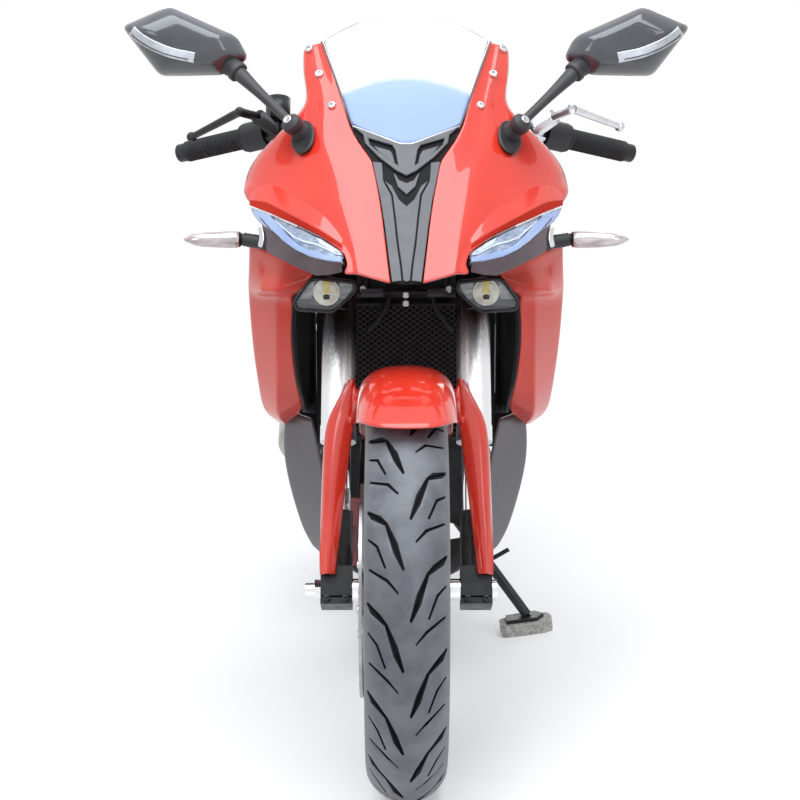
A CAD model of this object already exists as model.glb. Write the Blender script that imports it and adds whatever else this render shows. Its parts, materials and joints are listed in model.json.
import bpy
import bmesh
import json
import math
from mathutils import Matrix, Vector, geometry
from mathutils.bvhtree import BVHTree


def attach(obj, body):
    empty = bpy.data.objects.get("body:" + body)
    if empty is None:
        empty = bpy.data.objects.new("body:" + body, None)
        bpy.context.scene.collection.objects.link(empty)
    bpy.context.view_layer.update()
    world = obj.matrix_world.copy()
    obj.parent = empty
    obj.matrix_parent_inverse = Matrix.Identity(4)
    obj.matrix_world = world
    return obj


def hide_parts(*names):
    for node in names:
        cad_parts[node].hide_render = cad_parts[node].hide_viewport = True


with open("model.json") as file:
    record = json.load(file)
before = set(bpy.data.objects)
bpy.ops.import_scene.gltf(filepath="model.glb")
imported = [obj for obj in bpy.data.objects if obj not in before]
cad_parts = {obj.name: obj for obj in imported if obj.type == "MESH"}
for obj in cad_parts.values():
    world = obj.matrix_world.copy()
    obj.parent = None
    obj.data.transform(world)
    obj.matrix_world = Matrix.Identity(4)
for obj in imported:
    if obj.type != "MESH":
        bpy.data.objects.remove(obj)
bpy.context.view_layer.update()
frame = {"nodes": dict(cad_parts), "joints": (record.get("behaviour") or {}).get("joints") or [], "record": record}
nodes = frame["nodes"]
joints = {j["name"]: j for j in frame["joints"]}
scene = bpy.context.scene
print("frame loaded", len(nodes), "nodes")

# The machine stands leaned on its stand: work in its own upright frame, in millimetres,
# front axle over the origin, front towards -Y, rider's left towards +X
frontR, rearR = 293.0, 313.0
axleAt = Vector(joints["front_wheel_spin"]["pos_m"])
axleAxis = Vector(joints["front_wheel_spin"]["axis"]).normalized()
lean = math.atan2(-axleAxis.z, axleAxis.x)
toRow = (Matrix.Translation(axleAt) @ Matrix.Rotation(lean, 4, "Y") @ Matrix.Scale(0.001, 4)
         @ Matrix.Translation((0, 0, -frontR)))
fromRow = toRow.inverted()
rearAxle = fromRow @ Vector(joints["rear_wheel_spin"]["pos_m"])
steerAxis = (fromRow.to_3x3() @ Vector(joints["steering_turn"]["axis"])).normalized()
rake = math.atan2(steerAxis.y, steerAxis.z)
forkOffset, forkHalf = 32.0, 98.0
headFoot = Vector((0, forkOffset * math.cos(rake), frontR - forkOffset * math.sin(rake)))
steer = Matrix.Translation(headFoot) @ Matrix.Rotation(-rake, 4, "X")
bodyOf = {n: b for b, ns in frame["record"]["behaviour"]["bodies"].items() for n in ns}

# Nodes: an input is linked when given a socket, and set when given a value


def setInputs(tree, node, inputs):
    for key, value in inputs.items():
        if isinstance(value, bpy.types.NodeSocket):
            tree.links.new(value, node.inputs[key])
        else:
            node.inputs[key].default_value = value


def addNode(tree, kind, inputs=None, **settings):
    node = tree.nodes.new(kind)
    for key, value in settings.items():
        setattr(node, key, value)
    setInputs(tree, node, inputs or {})
    return node


def mathOn(tree, operation, *values):
    return addNode(tree, "ShaderNodeMath", dict(enumerate(values)), operation=operation).outputs[0]


def objectPlace(tree):
    return addNode(tree, "ShaderNodeTexCoord").outputs["Object"]


def noiseOn(tree, scale, detail=3.0, stretch=(1, 1, 1), turn=(0, 0, 0)):
    place = {"Vector": objectPlace(tree), "Scale": stretch, "Rotation": turn}
    place = addNode(tree, "ShaderNodeMapping", place).outputs[0]
    noise = addNode(tree, "ShaderNodeTexNoise", {"Vector": place, "Scale": scale, "Detail": detail})
    return noise.outputs["Fac"]


def rampOn(tree, source, dark, light, low=0.35, high=0.65):
    ramp = addNode(tree, "ShaderNodeValToRGB", {"Fac": source})
    for stop, place, tone in zip(ramp.color_ramp.elements, (low, high), (dark, light)):
        stop.position, stop.color = place, (*tone, 1)
    return ramp.outputs["Color"]


def rangeOn(tree, source, low, high, start=0.3, end=0.7, kind="LINEAR"):
    span = {"Value": source, "From Min": start, "From Max": end, "To Min": low, "To Max": high}
    return addNode(tree, "ShaderNodeMapRange", span, interpolation_type=kind).outputs["Result"]


def bumpOn(tree, source, strength, distance=0.001):
    bump = addNode(tree, "ShaderNodeBump", {"Height": source, "Strength": strength, "Distance": distance})
    return bump.outputs["Normal"]


def newMaterial(name):
    mat = bpy.data.materials.new(name)
    mat.use_nodes = True
    return mat, mat.node_tree, mat.node_tree.nodes["Principled BSDF"]


def surface(name, dark, light, scale=30, rough=(0.3, 0.45), metal=0.0, grain=0.0, grainScale=900,
            stretch=(1, 1, 1), coat=0.0, coatRough=0.03, specular=0.5):
    mat, tree, bsdf = newMaterial(name)
    cloud = noiseOn(tree, scale, 4.0, stretch)
    setInputs(tree, bsdf, {
        "Base Color": rampOn(tree, cloud, dark, light), "Roughness": rangeOn(tree, cloud, *rough),
        "Metallic": metal, "Coat Weight": coat, "Coat Roughness": coatRough, "Specular IOR Level": specular})
    if grain > 0:
        fine = noiseOn(tree, grainScale, 2.0, stretch)
        setInputs(tree, bsdf, {"Normal": bumpOn(tree, fine, grain)})
    return mat


plasticIor = 1.2


def clearPlastic(name, tint, rough):
    mat, tree, bsdf = newMaterial(name)
    haze = noiseOn(tree, 14)
    setInputs(tree, bsdf, {
        "Base Color": rampOn(tree, haze, [c * 0.94 for c in tint], tint), "Transmission Weight": 1.0,
        "Roughness": rangeOn(tree, haze, rough, rough * 2.2), "IOR": plasticIor})
    return mat


# Milky below a soft arc and clear above it; heights in metres in the upright frame
def screenPlastic(name, milky, clear, arcTop, arcFall, soft, through):
    mat, tree, bsdf = newMaterial(name)
    moved = {0: objectPlace(tree), 1: toRow.translation}
    moved = addNode(tree, "ShaderNodeVectorMath", moved, operation="SUBTRACT").outputs[0]
    upright = addNode(tree, "ShaderNodeVectorRotate", {"Vector": moved, "Angle": -lean}, rotation_type="Y_AXIS")
    place = addNode(tree, "ShaderNodeSeparateXYZ", {0: upright.outputs[0]}).outputs
    level = mathOn(tree, "MULTIPLY_ADD", mathOn(tree, "MULTIPLY", place["X"], place["X"]), arcFall, place["Z"])
    above = rangeOn(tree, level, 0, 1, arcTop - soft, arcTop, "SMOOTHSTEP")
    setInputs(tree, bsdf, {
        "Base Color": rampOn(tree, above, milky, clear, 0.0, 1.0), "IOR": plasticIor,
        "Transmission Weight": rangeOn(tree, above, *through, 0, 1),
        "Roughness": rangeOn(tree, noiseOn(tree, 20), 0.015, 0.04)})
    return mat


# Brushed tube that darkens upwards, where the nose shades it
def shadedTube(name, bright, dark, low, high):
    mat, tree, bsdf = newMaterial(name)
    height = addNode(tree, "ShaderNodeSeparateXYZ", {0: objectPlace(tree)}).outputs["Z"]
    brushed = noiseOn(tree, 420, 2.0, (1, 1, 0.04), (rake, 0, 0))
    shade = rangeOn(tree, mathOn(tree, "MULTIPLY_ADD", brushed, 0.03, height), 0, 1, low, high, "SMOOTHSTEP")
    setInputs(tree, bsdf, {
        "Base Color": rampOn(tree, shade, bright, dark, 0.0, 1.0), "Metallic": 1.0,
        "Roughness": rangeOn(tree, brushed, 0.26, 0.42), "Normal": bumpOn(tree, brushed, 0.05)})
    return mat


# Finishes: darker tone, lighter tone, and what differs from a plain surface
finishes = {
    "redPaint": ((0.74, 0.030, 0.013), (0.83, 0.042, 0.019),
                 dict(scale=9, rough=(0.30, 0.38), coat=1.0, coatRough=0.02, grain=0.012, grainScale=160,
                      specular=0.3)),
    "fairingRed": ((0.86, 0.046, 0.022), (0.94, 0.058, 0.028),
                   dict(scale=9, rough=(0.34, 0.42), coat=0.35, grain=0.012, grainScale=160, specular=0.25)),
    "redShade": ((0.50, 0.020, 0.008), (0.58, 0.028, 0.012), dict(scale=9, rough=(0.5, 0.6), specular=0.2)),
    "darkTrim": ((0.010, 0.010, 0.012), (0.022, 0.022, 0.025),
                 dict(rough=(0.42, 0.58), grain=0.12, grainScale=1400)),
    "greyTrim": ((0.075, 0.078, 0.086), (0.110, 0.113, 0.122),
                 dict(rough=(0.34, 0.44), grain=0.08, grainScale=1600)),
    "bellyGrey": ((0.105, 0.098, 0.105), (0.145, 0.138, 0.145),
                  dict(scale=8, rough=(0.42, 0.55), grain=0.10, grainScale=1500)),
    "brownTrim": ((0.050, 0.026, 0.034), (0.105, 0.070, 0.082), dict(scale=12, rough=(0.22, 0.32), coat=0.4)),
    "blackMetal": ((0.012, 0.012, 0.013), (0.028, 0.028, 0.030),
                   dict(scale=60, rough=(0.3, 0.48), metal=0.3, grain=0.05, grainScale=1200)),
    "wheelBlack": ((0.010, 0.010, 0.011), (0.022, 0.022, 0.024),
                   dict(scale=20, rough=(0.22, 0.34), coat=0.5, grain=0.03, grainScale=300)),
    "tyreRubber": ((0.120, 0.125, 0.140), (0.205, 0.210, 0.230),
                   dict(scale=26, rough=(0.42, 0.56), grain=0.16, grainScale=700)),
    "grooveRubber": ((0.010, 0.010, 0.012), (0.022, 0.023, 0.026),
                     dict(scale=40, rough=(0.7, 0.85), specular=0.1)),
    "softRubber": ((0.010, 0.010, 0.011), (0.024, 0.024, 0.026),
                   dict(scale=50, rough=(0.62, 0.8), grain=0.2)),
    "steel": ((0.42, 0.42, 0.43), (0.58, 0.58, 0.59),
              dict(scale=40, rough=(0.24, 0.38), metal=1.0, grain=0.04, grainScale=500)),
    "chrome": ((0.80, 0.81, 0.83), (0.90, 0.90, 0.91), dict(rough=(0.05, 0.10), metal=1.0)),
    "discSteel": ((0.40, 0.40, 0.41), (0.56, 0.56, 0.57),
                  dict(scale=70, rough=(0.26, 0.36), metal=1.0, grain=0.06, grainScale=800)),
    "redCaliper": ((0.30, 0.010, 0.012), (0.42, 0.018, 0.020), dict(rough=(0.3, 0.42), coat=0.6)),
    "engineAlloy": ((0.050, 0.051, 0.055), (0.085, 0.086, 0.090),
                    dict(scale=50, rough=(0.42, 0.58), metal=0.6, grain=0.14, grainScale=700)),
    "exhaustSteel": ((0.30, 0.27, 0.24), (0.46, 0.43, 0.40),
                     dict(scale=18, rough=(0.24, 0.40), metal=1.0, grain=0.04, grainScale=500)),
    "seatCover": ((0.010, 0.010, 0.011), (0.021, 0.021, 0.022),
                  dict(scale=60, rough=(0.52, 0.66), grain=0.35, grainScale=520)),
    "paleWrap": ((0.34, 0.33, 0.31), (0.62, 0.60, 0.57),
                 dict(scale=170, rough=(0.7, 0.85), grain=0.4, grainScale=380)),
    "mirrorGlass": ((0.82, 0.84, 0.86), (0.88, 0.90, 0.92), dict(scale=6, rough=(0.015, 0.03), metal=1.0)),
    "chainSteel": ((0.20, 0.17, 0.13), (0.36, 0.32, 0.26), dict(scale=120, rough=(0.3, 0.5), metal=1.0)),
    "lensRed": ((0.30, 0.006, 0.008), (0.42, 0.012, 0.012), dict(scale=90, rough=(0.08, 0.16), coat=1.0)),
    "grilleDark": ((0.034, 0.034, 0.037), (0.062, 0.062, 0.066), dict(scale=60, rough=(0.4, 0.55), metal=0.3)),
    "coreBlack": ((0.004, 0.004, 0.005), (0.009, 0.008, 0.010),
                  dict(scale=40, rough=(0.6, 0.75), specular=0.2)),
    "mirrorBlack": ((0.045, 0.050, 0.062), (0.080, 0.086, 0.102), dict(scale=12, rough=(0.14, 0.24), coat=0.9)),
    "armGrey": ((0.030, 0.029, 0.032), (0.052, 0.050, 0.055),
                dict(scale=40, rough=(0.46, 0.6), grain=0.1, grainScale=1500)),
    "lampBand": ((0.33, 0.42, 0.66), (0.41, 0.51, 0.74), dict(scale=16, rough=(0.16, 0.26), coat=0.5)),
    "lampReflector": ((0.36, 0.43, 0.56), (0.66, 0.72, 0.84),
                      dict(scale=55, rough=(0.08, 0.22), metal=0.9, stretch=(1, 1, 3))),
    "lampStrip": ((0.76, 0.82, 0.90), (0.92, 0.95, 1.0), dict(scale=90, rough=(0.10, 0.22), coat=0.8)),
    "lampCream": ((0.60, 0.56, 0.42), (0.86, 0.82, 0.66), dict(scale=70, rough=(0.08, 0.18), coat=1.0)),
    "lampSmoke": ((0.055, 0.056, 0.058), (0.125, 0.125, 0.122),
                  dict(scale=24, rough=(0.12, 0.24), coat=0.8, stretch=(1, 1, 2.5))),
    "paneGrey": ((0.20, 0.20, 0.18), (0.42, 0.42, 0.39),
                 dict(rough=(0.08, 0.18), coat=0.8, stretch=(1, 1, 6))),
    "lampAmber": ((0.70, 0.50, 0.08), (0.86, 0.68, 0.20), dict(scale=80, rough=(0.12, 0.22), coat=0.8)),
    "pinkLens": ((0.46, 0.36, 0.36), (0.80, 0.74, 0.74),
                 dict(scale=60, rough=(0.06, 0.16), metal=0.35, coat=1.0, stretch=(0.5, 1, 2))),
    "amberLens": ((0.62, 0.20, 0.02), (0.78, 0.30, 0.04), dict(scale=90, rough=(0.08, 0.16), coat=1.0)),
    "satinSilver": ((0.58, 0.59, 0.61), (0.74, 0.75, 0.77),
                    dict(rough=(0.24, 0.36), metal=1.0, grain=0.04, grainScale=600)),
}
mats = {name: surface(name, dark, light, **more) for name, (dark, light, more) in finishes.items()}
mats["lensClear"] = clearPlastic("lensClear", (0.93, 0.96, 1.0), 0.03)
mats["screenClear"] = screenPlastic("screenClear", (0.42, 0.55, 0.90), (0.97, 0.98, 1.0),
                                    arcTop=1.014, arcFall=2.6, soft=0.014, through=(0.22, 0.86))
mats["forkAlloy"] = shadedTube("forkAlloy", (0.80, 0.81, 0.83), (0.035, 0.035, 0.038), 0.585, 0.675)
finishNodes = {
    "tyreRubber": "front_tyre rear_tyre", "wheelBlack": "front_rim rear_rim",
    "discSteel": "front_disc rear_disc", "steel": "rear_sprocket hand_levers rear_axle fuel_cap",
    "blackMetal": "fork_yokes fork_feet handlebars frame swingarm rear_caliper footrests side_stand",
    "forkAlloy": "fork_outer_tubes", "chrome": "fork_inner_tubes front_axle",
    "redPaint": "front_fender fuel_tank tail_cowl nose_cowl", "redCaliper": "front_caliper shock",
    "softRubber": "grips",
    "darkTrim": "switch_pods chain_guard plate_bracket rear_indicators lamp_housings inner_panels "
                "front_indicators mirrors instrument_panel",
    "engineAlloy": "engine", "coreBlack": "radiator", "exhaustSteel": "exhaust", "chainSteel": "drive_chain",
    "seatCover": "rider_seat pillion_seat", "lensRed": "tail_light", "greyTrim": "nose_trim",
    "screenClear": "windscreen", "lensClear": "headlamps lower_lamps", "brownTrim": "lamp_surround",
    "fairingRed": "side_fairings", "bellyGrey": "belly_pan", "mirrorGlass": "mirror_glass",
    "paleWrap": "stand_pad",
}
nodeFinish = {node: finish for finish, names in finishNodes.items() for node in names.split()}
for node, finish in nodeFinish.items():
    nodes[node].data.materials.clear()
    nodes[node].data.materials.append(mats[finish])
print("materials", len(mats))

# Pieces: what every one of them needs


# Opens a mesh for editing and writes it back
class edited:
    def __init__(self, mesh):
        self.mesh, self.bm = mesh, bmesh.new()

    def __enter__(self):
        self.bm.from_mesh(self.mesh)
        return self.bm

    def __exit__(self, *failure):
        self.bm.to_mesh(self.mesh)
        self.bm.free()


def addObject(name, data):
    obj = bpy.data.objects.new(name, data)
    scene.collection.objects.link(obj)
    return obj


def addPiece(name, mesh, body, stands=(), painted=()):
    obj = addObject(name, mesh)
    if painted:
        mesh.materials.clear()
    for finish in painted:
        mesh.materials.append(mats[finish])
    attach(obj, body)
    if stands:
        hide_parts(*stands)
    return obj


def smoothAll(mesh, angle=None):
    mesh.polygons.foreach_set("use_smooth", [True] * len(mesh.polygons))
    if angle is not None:
        mesh.set_sharp_from_angle(angle=math.radians(angle))


def roundOff(obj, levels):
    sub = obj.modifiers.new("round", "SUBSURF")
    sub.levels = sub.render_levels = levels


def copyOf(node, name):
    mesh = nodes[node].data.copy()
    mesh.name = name
    return mesh


def weld(bm, distance=2e-5):
    bmesh.ops.remove_doubles(bm, verts=bm.verts, dist=distance)


# The nose is one swept-back surface: its depth at a place in the front view, and a lift off it
nose = dict(tip=(-60.0, 731.0), slope=0.81, sweep=0.00256)


def noseAt(x, z, lift=0.0):
    y = nose["tip"][0] + nose["slope"] * (z - nose["tip"][1]) + nose["sweep"] * x * x
    n = Vector((2 * nose["sweep"] * x, -1, nose["slope"])).normalized()
    return Vector((x, y, z)) + n * lift


# A copy of a CAD panel: triangles paired into quads, sharp edges creased, then subdivided
# boss: a stud in the panel whose end would show through the nose skin, set flush with it
def roundedPanel(node, name, slot, sharp=45, hold=0.85, soft=0.0, softFrom=14, levels=2, boss=None):
    mesh = copyOf(node, name)
    with edited(mesh) as bm:
        weld(bm)
        bmesh.ops.dissolve_degenerate(bm, edges=bm.edges, dist=1e-6)
        bmesh.ops.join_triangles(bm, faces=bm.faces, angle_face_threshold=math.radians(40),
                                 angle_shape_threshold=math.radians(120), topology_influence=1.0)
        if boss:
            for v in bm.verts:
                q = fromRow @ v.co
                skin = noseAt(q.x, q.z)
                near = math.hypot(abs(q.x) - boss["x"], q.z - boss["z"]) < boss["radius"]
                if near and -boss["before"] < q.y - skin.y < boss["behind"]:
                    v.co = toRow @ skin
            weld(bm, 2e-4)
            bmesh.ops.dissolve_degenerate(bm, edges=bm.edges, dist=2e-4)
        crease = bm.edges.layers.float.new("crease_edge")
        for e in bm.edges:
            angle = math.degrees(e.calc_face_angle(0)) if len(e.link_faces) == 2 else 0
            if angle > sharp:
                e[crease] = hold
            elif soft > 0 and angle > softFrom:
                e[crease] = soft
    smoothAll(mesh)
    roundOff(addPiece(name, mesh, bodyOf[node], (node,), [nodeFinish[node]]), levels)


panels = {
    "front_fender": dict(slot="red_paint"),
    "nose_cowl": dict(slot="red_paint", boss=dict(x=132, z=842, radius=9, before=9, behind=2.4)),
    "windscreen": dict(slot="clear_screen"),
    "inner_panels": dict(slot="dark_trim", hold=1.0),
    "belly_pan": dict(slot="grey_trim", hold=1.0, soft=0.6),
    "tail_cowl": dict(slot="red_paint"),
    "fuel_tank": dict(slot="red_paint", sharp=50, hold=0.6),
}
for node, spec in panels.items():
    roundedPanel(node, node + "Shell", **spec)
print("panels", len(panels))

# Geometry Nodes trees: one turns a mesh round the X axis, one sets a part on marked points


def geometryTree(name, inputs):
    tree = bpy.data.node_groups.new(name, "GeometryNodeTree")
    tree.interface.new_socket("Geometry", in_out="INPUT", socket_type="NodeSocketGeometry")
    for label, kind in inputs:
        tree.interface.new_socket(label, in_out="INPUT", socket_type=kind)
    tree.interface.new_socket("Geometry", in_out="OUTPUT", socket_type="NodeSocketGeometry")
    return tree, addNode(tree, "NodeGroupInput").outputs


def placeParts(tree, given, inputs, turn, merge=None):
    turn = addNode(tree, "FunctionNodeEulerToRotation", {0: turn}).outputs[0]
    place = addNode(tree, "GeometryNodeInstanceOnPoints", {**inputs, "Rotation": turn})
    made = addNode(tree, "GeometryNodeRealizeInstances", {0: place.outputs[0]})
    if merge:
        made = addNode(tree, "GeometryNodeMergeByDistance", {"Geometry": made.outputs[0], "Distance": merge})
    paint = {"Geometry": made.outputs[0], "Material": given["Finish"]}
    addNode(tree, "NodeGroupOutput", {0: addNode(tree, "GeometryNodeSetMaterial", paint).outputs[0]})
    return tree


def makeTurnTree():
    tree, given = geometryTree("turnRoundAxle", [("Count", "NodeSocketInt"), ("Finish", "NodeSocketMaterial")])
    points = addNode(tree, "GeometryNodePoints", {"Count": given["Count"]}).outputs[0]
    share = mathOn(tree, "DIVIDE", addNode(tree, "GeometryNodeInputIndex").outputs[0], given["Count"])
    spin = addNode(tree, "ShaderNodeCombineXYZ", {"X": mathOn(tree, "MULTIPLY", share, 2 * math.pi)}).outputs[0]
    return placeParts(tree, given, {"Points": points, "Instance": given["Geometry"]}, spin, merge=0.02)


def makeSetTree():
    tree, given = geometryTree("setOnPoints", [("Part", "NodeSocketObject"), ("Finish", "NodeSocketMaterial")])
    part = addNode(tree, "GeometryNodeObjectInfo", {"Object": given["Part"]}).outputs["Geometry"]
    mark = {name: addNode(tree, "GeometryNodeInputNamedAttribute", {"Name": name}, data_type=kind).outputs[0]
            for name, kind in (("turn", "FLOAT_VECTOR"), ("size", "FLOAT"))}
    inputs = {"Points": given["Geometry"], "Instance": part, "Scale": mark["size"]}
    return placeParts(tree, given, inputs, mark["turn"])


turnTree, setTree = makeTurnTree(), makeSetTree()


def takeMesh(obj):
    bpy.context.view_layer.update()
    made = bpy.data.meshes.new_from_object(obj.evaluated_get(bpy.context.evaluated_depsgraph_get()))
    bpy.data.objects.remove(obj)
    return made


def runTree(mesh, tree, values):
    obj = addObject("work", mesh)
    mod = obj.modifiers.new("tree", "NODES")
    mod.node_group = tree
    for item in tree.interface.items_tree:
        if item.in_out == "INPUT" and item.name in values:
            mod[item.identifier] = values[item.name]
    return takeMesh(obj)


def meshFrom(name, verts, faces):
    mesh = bpy.data.meshes.new(name)
    mesh.from_pydata([tuple(v) for v in verts], [], faces)
    return mesh


# spots: (place, rotation matrix, size) in the upright millimetre frame
def setParts(name, unit, spots, body, finish, stands=()):
    points = meshFrom(name + "Points", [s[0] for s in spots], [])
    points.attributes.new("turn", "FLOAT_VECTOR", "POINT")
    points.attributes.new("size", "FLOAT", "POINT")
    for i, (_, matrix, scale) in enumerate(spots):
        points.attributes["turn"].data[i].vector = matrix.to_euler()
        points.attributes["size"].data[i].value = scale
    part = addObject("part", unit)
    mesh = runTree(points, setTree, {"Part": part, "Finish": mats[finish]})
    bpy.data.objects.remove(part)
    mesh.name = name
    mesh.transform(toRow)
    smoothAll(mesh, 35)
    addPiece(name, mesh, body, stands)


def aim(direction):
    return Vector(direction).to_track_quat("Z", "Y").to_matrix()


# Builders: a bin gathers faces and their finishes, and becomes one piece


def newBin(finish):
    return dict(verts=[], faces=[], kinds=[], finishes=[finish])


def kindOf(bin_, finish):
    if finish not in bin_["finishes"]:
        bin_["finishes"].append(finish)
    return bin_["finishes"].index(finish)


def putIn(bin_, verts, faces, finish=None):
    base = len(bin_["verts"])
    bin_["verts"] += [Vector(v) for v in verts]
    bin_["faces"] += [tuple(base + i for i in f) for f in faces]
    bin_["kinds"] += [kindOf(bin_, finish or bin_["finishes"][0])] * len(faces)


def pieceFrom(name, bin_, stands=(), sharp=30, body="chassis"):
    mesh = meshFrom(name, bin_["verts"], bin_["faces"])
    for finish in bin_["finishes"]:
        mesh.materials.append(mats[finish])
    mesh.polygons.foreach_set("material_index", bin_["kinds"])
    mesh.transform(toRow)
    with edited(mesh) as bm:
        weld(bm, 1e-6)
        bmesh.ops.recalc_face_normals(bm, faces=bm.faces)
    addPiece(name, mesh, body, stands)
    smoothAll(mesh, sharp)


def addTwin(bin_):
    # the other side of the machine
    base = len(bin_["verts"])
    bin_["verts"] += [Vector((-v.x, v.y, v.z)) for v in bin_["verts"]]
    bin_["faces"] += [tuple(base + i for i in f[::-1]) for f in bin_["faces"]]
    bin_["kinds"] += list(bin_["kinds"])


def circle(steps):
    turns = [2 * math.pi * k / steps for k in range(steps)]
    return [(math.cos(a), math.sin(a)) for a in turns]


def bandFaces(rows, n):
    # quads between rows of n points that close on themselves
    return [(j * n + k, j * n + (k + 1) % n, (j + 1) * n + (k + 1) % n, (j + 1) * n + k)
            for j in range(rows - 1) for k in range(n)]


def capFaces(rows, n):
    return [tuple(range(n - 1, -1, -1)), tuple((rows - 1) * n + k for k in range(n))]


def ringStack(rows, steps, cap=True):
    # rows of (radius, height) turned round Z
    verts = [(r * c, r * s, z) for r, z in rows for c, s in circle(steps)]
    return verts, bandFaces(len(rows), steps) + (capFaces(len(rows), steps) if cap else [])


def addRings(bin_, rings, finish=None):
    n = len(rings[0])
    faces = bandFaces(len(rings), n) + capFaces(len(rings), n)
    putIn(bin_, [p for ring in rings for p in ring], faces, finish)
    return faces


def addTurned(bin_, rows, place, direction, steps=20, finish=None):
    verts, faces = ringStack(rows, steps)
    putIn(bin_, [Vector(place) + aim(direction) @ Vector(v) for v in verts], faces, finish)


def courseAt(path, i):
    return (path[min(i + 1, len(path) - 1)] - path[max(i - 1, 0)]).normalized()


def addTube(bin_, path, radii, steps=14, flat=1.0, finish=None):
    path = [Vector(p) for p in path]
    radii = radii if isinstance(radii, list) else [radii]
    rings = []
    for i, p in enumerate(path):
        d = courseAt(path, i)
        side = d.cross(Vector((0, 0, 1)))
        side = side.normalized() if side.length > 0.08 else Vector((1, 0, 0))
        lift = side.cross(d)
        r = radii[i * (len(radii) - 1) // (len(path) - 1)]
        rings.append([p + side * (r * c) + lift * (r * flat * s) for c, s in circle(steps)])
    addRings(bin_, rings, finish)


def curveThrough(points, cuts=5):
    pts = [Vector(p) for p in points]
    pts = [pts[0] * 2 - pts[1]] + pts + [pts[-1] * 2 - pts[-2]]
    out = []
    for i in range(1, len(pts) - 2):
        a, b, c, d = pts[i - 1:i + 3]
        for k in range(cuts):
            t = k / cuts
            out.append(0.5 * (2 * b + (c - a) * t + (2 * a - 5 * b + 4 * c - d) * t ** 2
                              + (3 * b - a - 3 * c + d) * t ** 3))
    return out + [pts[-2]]


def levelAt(line, x):
    # height of a line of (x, height) points, level past its ends
    line = sorted(line)
    for a, b in zip(line, line[1:]):
        if x <= b[0]:
            return a[1] + (b[1] - a[1]) * max(0.0, (x - a[0]) / (b[0] - a[0]))
    return line[-1][1]


def bandLoop(line, half):
    pts = [Vector(p) for p in line]
    courses = [courseAt(pts, i) for i in range(len(pts))]
    sides = [Vector((-d.y, d.x)) * half for d in courses]
    return [tuple(p + s) for p, s in zip(pts, sides)] + [tuple(p - s) for p, s in zip(pts, sides)][::-1]


def roundLoop(pts, radius, steps=4):
    out, n = [], len(pts)
    for i in range(n):
        a, p, b = Vector(pts[i - 1]), Vector(pts[i]), Vector(pts[(i + 1) % n])
        reach = min(radius, (p - a).length * 0.48, (b - p).length * 0.48)
        start, end = p + (a - p).normalized() * reach, p + (b - p).normalized() * reach
        for k in range(steps + 1):
            t = k / steps
            out.append(tuple(start * (1 - t) ** 2 + p * (2 * t * (1 - t)) + end * t ** 2))
    return out


def bothSides(half):
    # a full loop from its right half, top first, both ends on the middle line
    return half + [(-x, z) for x, z in half[::-1] if abs(x) > 0.01]


def mirrorLoop(pts):
    return [(-x, z) for x, z in pts]


bothWays = (list, mirrorLoop)


def leftTurning(pts):
    area = sum(pts[i - 1][0] * pts[i][1] - pts[i][0] * pts[i - 1][1] for i in range(len(pts)))
    return pts if area > 0 else pts[::-1]


def insetLoop(pts, amount):
    # moves each side of a left-turning loop inward
    out, n = [], len(pts)
    for i in range(n):
        a, p, b = Vector(pts[i - 1]), Vector(pts[i]), Vector(pts[(i + 1) % n])
        d1, d2 = (p - a).normalized(), (b - p).normalized()
        n1, n2 = Vector((-d1.y, d1.x)), Vector((-d2.y, d2.x))
        m = (n1 + n2).normalized()
        out.append(p + m * (amount / max(m.dot(n1), 0.45)))
    return out


def insideLoop(p, loop):
    hit = False
    for i in range(len(loop)):
        a, b = loop[i - 1], loop[i]
        if (a[1] > p[1]) != (b[1] > p[1]) and p[0] < (b[0] - a[0]) * (p[1] - a[1]) / (b[1] - a[1]) + a[0]:
            hit = not hit
    return hit


# A closed plate on a surface, in mm: chamfered top at the lift, walls down by the depth, holes cut through
def addPlate(bin_, outline, lift, depth, bevel=0.8, finish=None, holes=(), cell=9.0, at=noseAt):
    loops = [leftTurning([tuple(p) for p in outline])]
    loops += [leftTurning([tuple(p) for p in hole])[::-1] for hole in holes]
    rims = [insetLoop(pts, bevel) for pts in loops]
    inPlate = lambda p: insideLoop(p, rims[0]) and not any(insideLoop(p, rim) for rim in rims[1:])
    points, edges = [], []
    for rim in rims:
        base = len(points)
        points += [Vector(p) for p in rim]
        edges += [(base + k, base + (k + 1) % len(rim)) for k in range(len(rim))]
    xs, zs = [p[0] for p in outline], [p[1] for p in outline]
    x = min(xs) + cell / 2
    while x < max(xs):
        z = min(zs) + cell / 2
        while z < max(zs):
            p = (x, z)
            if inPlate(p) and min((Vector(p) - q).length for q in points) > cell * 0.45:
                points.append(Vector(p))
            z += cell
        x += cell
    flat, _, tris, _, _, _ = geometry.delaunay_2d_cdt(points, edges, [], 0, 1e-4)
    keep = [tuple(t) for t in tris if inPlate(sum((flat[i] for i in t), Vector((0, 0))) / 3)]
    putIn(bin_, [at(p.x, p.y, lift) for p in flat], keep, finish)
    putIn(bin_, [at(p.x, p.y, lift - depth) for p in flat], [t[::-1] for t in keep], finish)
    for pts, rim in zip(loops, rims):
        rows = [at(*p, lift) for p in rim] + [at(*p, lift - bevel) for p in pts]
        rows += [at(*p, lift - depth) for p in rim]
        putIn(bin_, rows, bandFaces(3, len(pts)), finish)


# Screw heads of unit radius: rows of (radius at even corners, radius at odd corners, height)
heads = dict(
    socket=[(1, 1, 0), (1, 1, 0.45), (0.92, 0.92, 0.62), (0.72, 0.72, 0.72), (0.5, 0.5, 0.72),
            (0.46, 0.5, 0.25)],
    hexagon=[(1, 1, 0), (1, 1, 0.12), (0.86, 0.86, 0.2), (0.702, 0.78, 0.2), (0.702, 0.78, 0.62),
             (0.594, 0.66, 0.72)],
)


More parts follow.
